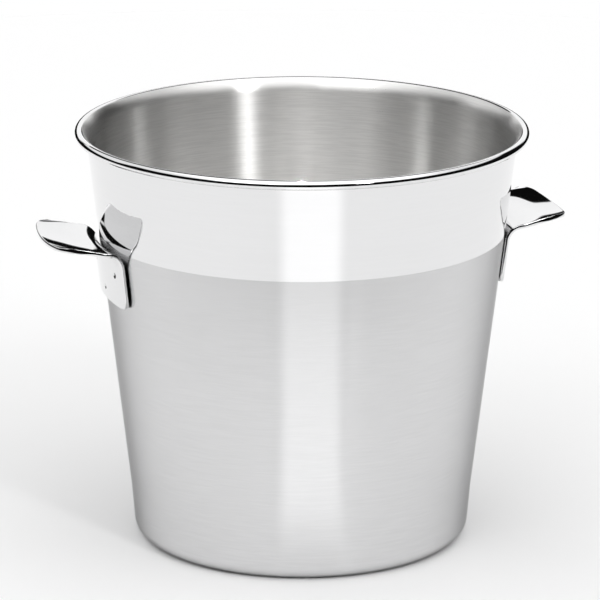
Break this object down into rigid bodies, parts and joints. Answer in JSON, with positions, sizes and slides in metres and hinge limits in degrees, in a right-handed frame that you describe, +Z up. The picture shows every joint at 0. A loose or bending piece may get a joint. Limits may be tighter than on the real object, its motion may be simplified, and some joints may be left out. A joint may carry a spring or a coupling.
{
  "type": "champagne bucket",
  "caption": "Tapered stainless steel champagne bucket with a curled rim, a polished upper band over a satin body, and pressed lug handles welded to opposite sides.",
  "frame": {"origin": "centre of the foot, on the surface that the bucket stands on", "axes": "+Z up along the bucket's axis, +X through the middle of the right-hand handle, +Y to the back"},
  "size_m": [0.2592, 0.22, 0.2045],
  "materials": {
    "satin_steel": "satin, brushed lightly up and down outside and round the inside",
    "polished_steel": "mirror polished",
    "weld_steel": "dull spot weld"
  },
  "bodies": {
    "root": {"bucket_shell": "satin_steel", "left_handle": "polished_steel", "right_handle": "polished_steel", "left_handle_welds": "weld_steel", "right_handle_welds": "weld_steel"}
  },
  "joints": []
}
